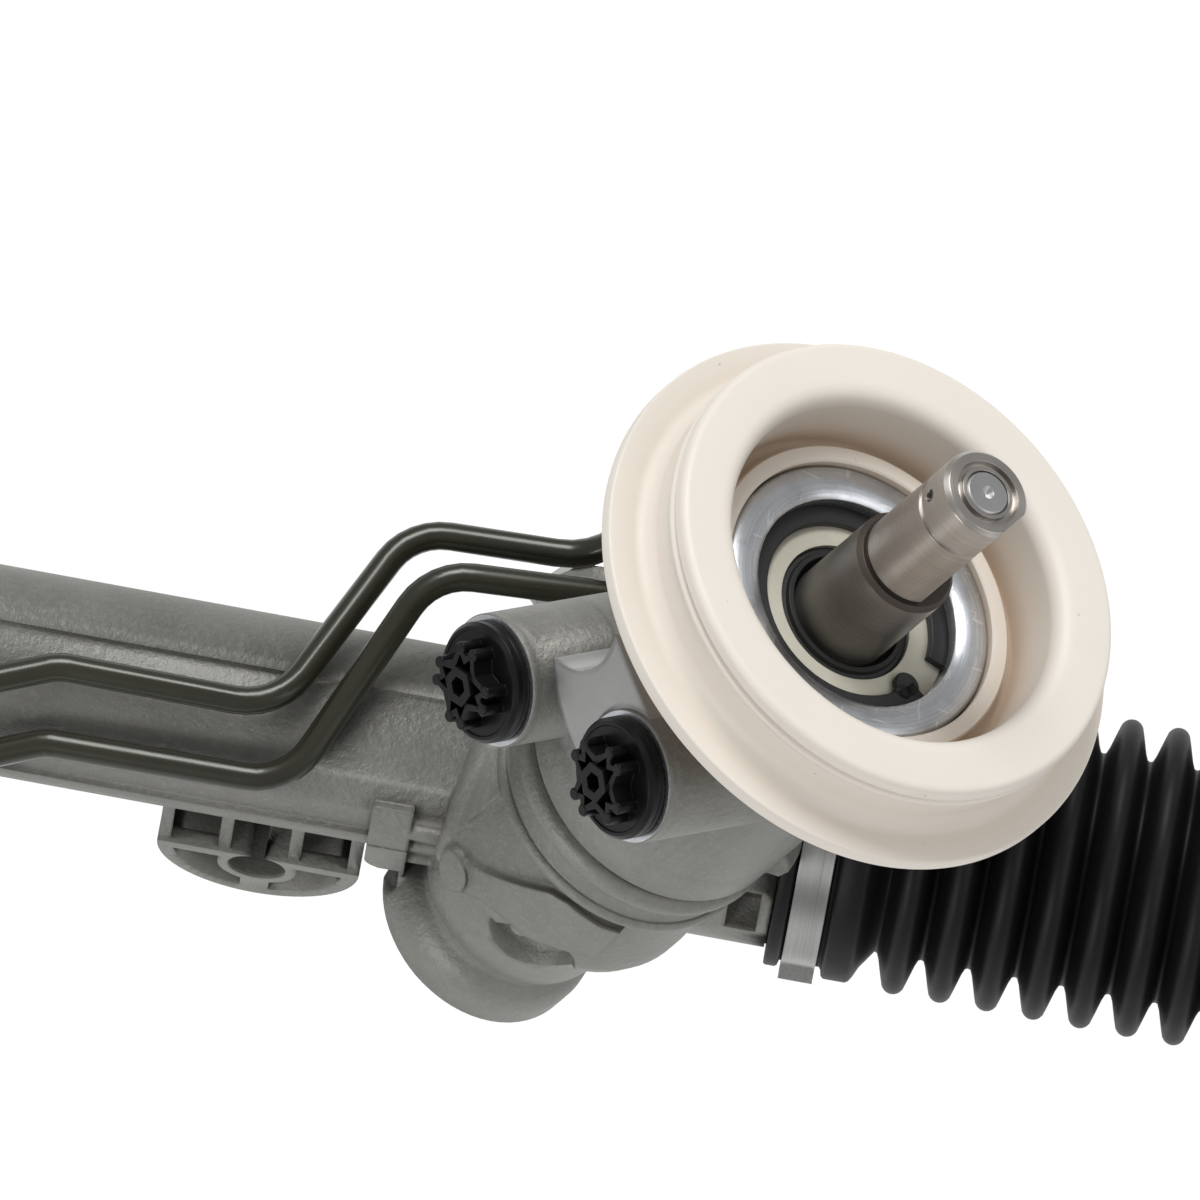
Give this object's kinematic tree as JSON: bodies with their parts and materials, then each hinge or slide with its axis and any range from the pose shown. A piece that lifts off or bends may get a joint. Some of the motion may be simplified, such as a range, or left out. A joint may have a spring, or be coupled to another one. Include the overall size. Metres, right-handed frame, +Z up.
{
  "type": "steering rack",
  "caption": "Hydraulic rack-and-pinion steering gear: a tilted valve tower with seal collar turns a pinion that slides the rack; fluid lines, ribbed bellows and tie rods fitted.",
  "frame": {"origin": "middle of the mounting bore beside the pinion", "axes": "+X along the rack towards the end beside the pinion, -Y out of the front of the mounting bore, +Y to the rear, +Z up"},
  "size_m": [1.084, 0.1159, 0.1971],
  "materials": {
    "housing_casting": "satin, sand-cast grain",
    "end_casting": "satin, sand-cast grain",
    "machined_aluminium": "satin, machined",
    "tube_coating": "satin black",
    "line_coating": "satin dark olive",
    "ground_steel": "ground",
    "plain_steel": "satin",
    "zinc_steel": "satin zinc",
    "clamp_steel": "satin",
    "black_steel": "satin black oxide",
    "washer_coating": "matte grey-beige",
    "collar_moulding": "matte cream",
    "plug_plastic": "semi-gloss black",
    "inner_polymer": "matte",
    "seal_rubber": "matte black",
    "bellows_rubber": "matte black"
  },
  "bodies": {
    "housing": {"gear_housing": "housing_casting", "bottom_cap": "black_steel", "port_plugs": "plug_plastic", "seal_collar": "collar_moulding", "circlip": "black_steel", "seal_washer": "washer_coating", "shaft_seal": "seal_rubber", "upper_bearing": "plain_steel", "lower_bearing_race": "plain_steel", "bearing_balls": "plain_steel", "yoke": "machined_aluminium", "yoke_liner": "inner_polymer", "yoke_spring": "black_steel", "yoke_adjuster": "machined_aluminium", "yoke_locknut": "zinc_steel", "cylinder_tube": "tube_coating", "end_housing": "end_casting", "inner_rack_seal": "seal_rubber", "rack_bush": "inner_polymer", "outer_rack_seal": "seal_rubber", "upper_line": "line_coating", "lower_line": "line_coating", "line_nuts": "zinc_steel", "bellows_right": "bellows_rubber", "bellows_left": "bellows_rubber", "large_clamps": "clamp_steel"},
    "pinion_shaft": {"input_shaft": "ground_steel", "torsion_bar": "plain_steel", "torsion_pins": "black_steel", "valve_sleeve": "ground_steel", "valve_rings": "inner_polymer", "pinion": "ground_steel", "pinion_inner_race": "plain_steel", "pinion_nut": "zinc_steel"},
    "rack": {"rack_bar": "ground_steel", "rack_piston": "plain_steel", "piston_ring": "inner_polymer", "ball_socket_right": "black_steel", "ball_socket_left": "black_steel", "ball_seat_right": "inner_polymer", "ball_seat_left": "inner_polymer"},
    "tie_rod_r": {"tie_rod_right": "black_steel", "rod_nut_right": "zinc_steel", "small_clamp_right": "clamp_steel"},
    "tie_rod_l": {"tie_rod_left": "black_steel", "rod_nut_left": "zinc_steel", "small_clamp_left": "clamp_steel"}
  },
  "joints": [
    {"name": "rack_slide", "type": "slide", "parent": "housing", "child": "rack", "axis": [1, 0, 0], "range_m": [-0.07, 0.07], "deforming": ["bellows_right", "bellows_left"]},
    {"name": "pinion_spin", "type": "hinge", "parent": "housing", "child": "pinion_shaft", "pos_m": [0.0645, -0.01062, 0.03085], "axis": [0.4226, 0.2239, 0.8782], "range_deg": [-456, 456]},
    {"name": "rod_swing_right", "type": "hinge", "parent": "rack", "child": "tie_rod_r", "pos_m": [0.2185, 0.0045, 0.027], "axis": [0, 1, 0], "range_deg": [-20, 20]},
    {"name": "rod_swing_left", "type": "hinge", "parent": "rack", "child": "tie_rod_l", "pos_m": [-0.4055, 0.0045, 0.027], "axis": [0, 1, 0], "range_deg": [-20, 20]}
  ],
  "couplings": [
    {"joint": "pinion_spin", "follows": "rack_slide", "rad_per_m": -113.29}
  ]
}
